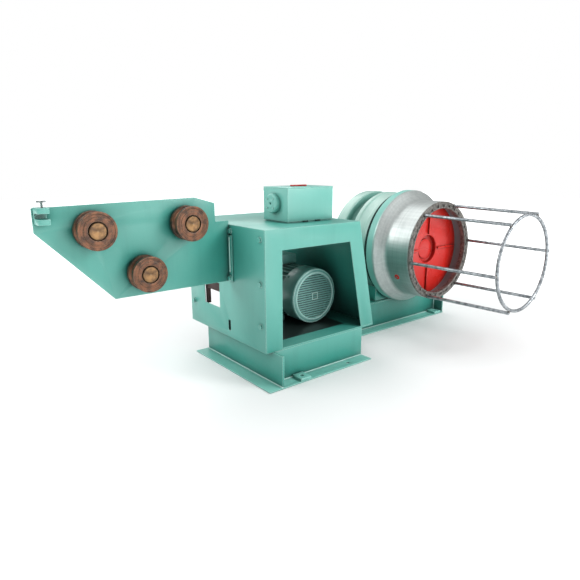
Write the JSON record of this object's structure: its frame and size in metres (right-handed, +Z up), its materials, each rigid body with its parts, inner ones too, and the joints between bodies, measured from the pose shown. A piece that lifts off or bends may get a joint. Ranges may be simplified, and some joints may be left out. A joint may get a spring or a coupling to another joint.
{
  "type": "wire drawing machine",
  "caption": "Single-block wire drawing machine: roller arm, die box on a motor housing, and a horizontal drum with a wire collecting cage.",
  "frame": {"origin": "floor level, midway between the four anchor holes of the pedestal under the motor housing", "axes": "+X along the wire from the guide arm to the drum, +Y towards the rear, +Z up"},
  "size_m": [3.424, 1.803, 1.232],
  "materials": {
    "green_enamel": "semi-gloss enamel, a little worn",
    "motor_enamel": "satin grey-green enamel",
    "red_enamel": "gloss red enamel",
    "polished_steel": "turned and polished",
    "dark_steel": "oily machined steel",
    "bright_steel": "drawn bar",
    "roller_iron": "machined, with light rust"
  },
  "bodies": {
    "machine": {"arm_mounting_strip": "green_enamel", "arm_plate": "green_enamel", "bed_base_plate": "green_enamel", "bed_end_plate": "green_enamel", "bed_foot_pads": "green_enamel", "bed_top_plate": "green_enamel", "bed_webs": "green_enamel", "belt_guard": "green_enamel", "die_box_base": "green_enamel", "die_box_body": "green_enamel", "die_box_lid": "green_enamel", "die_box_lid_handle": "red_enamel", "die_holder": "green_enamel", "gearbox_front_casing": "green_enamel", "gearbox_rear_casing": "green_enamel", "gearbox_saddles": "green_enamel", "housing_front_frame": "green_enamel", "housing_left_panel": "green_enamel", "housing_right_panel": "green_enamel", "housing_top_panel": "green_enamel", "inlet_guide": "green_enamel", "inlet_guide_screw": "bright_steel", "motor_body": "motor_enamel", "motor_fan_cowl": "motor_enamel", "motor_feet": "motor_enamel", "motor_terminal_box": "motor_enamel", "pedestal_base_plate": "green_enamel", "pedestal_deck": "green_enamel", "pedestal_foot_pads": "green_enamel", "pedestal_left_plate": "green_enamel", "pedestal_right_plate": "green_enamel", "pedestal_webs": "green_enamel", "roller_axle_1": "roller_iron", "roller_axle_2": "roller_iron", "roller_axle_3": "roller_iron"},
    "drum": {"drum_shell": "polished_steel", "drum_front_ring": "dark_steel", "drum_web": "red_enamel", "drum_spindle": "red_enamel", "drum_plug": "red_enamel", "cage_rods": "bright_steel", "cage_hoop": "bright_steel"},
    "roller_1": {"roller_1": "roller_iron"},
    "roller_2": {"roller_2": "roller_iron"},
    "roller_3": {"roller_3": "roller_iron"}
  },
  "joints": [
    {"name": "drum_spin", "type": "hinge", "parent": "machine", "child": "drum", "pos_m": [1.309, 0, 0.681], "axis": [0, 1, 0], "continuous": true},
    {"name": "roller_1_spin", "type": "hinge", "parent": "machine", "child": "roller_1", "pos_m": [-1.318, -0.028, 1.024], "axis": [0, 1, 0], "continuous": true},
    {"name": "roller_2_spin", "type": "hinge", "parent": "machine", "child": "roller_2", "pos_m": [-1.046, -0.028, 0.755], "axis": [0, 1, 0], "continuous": true},
    {"name": "roller_3_spin", "type": "hinge", "parent": "machine", "child": "roller_3", "pos_m": [-0.764, -0.028, 1.024], "axis": [0, 1, 0], "continuous": true}
  ]
}
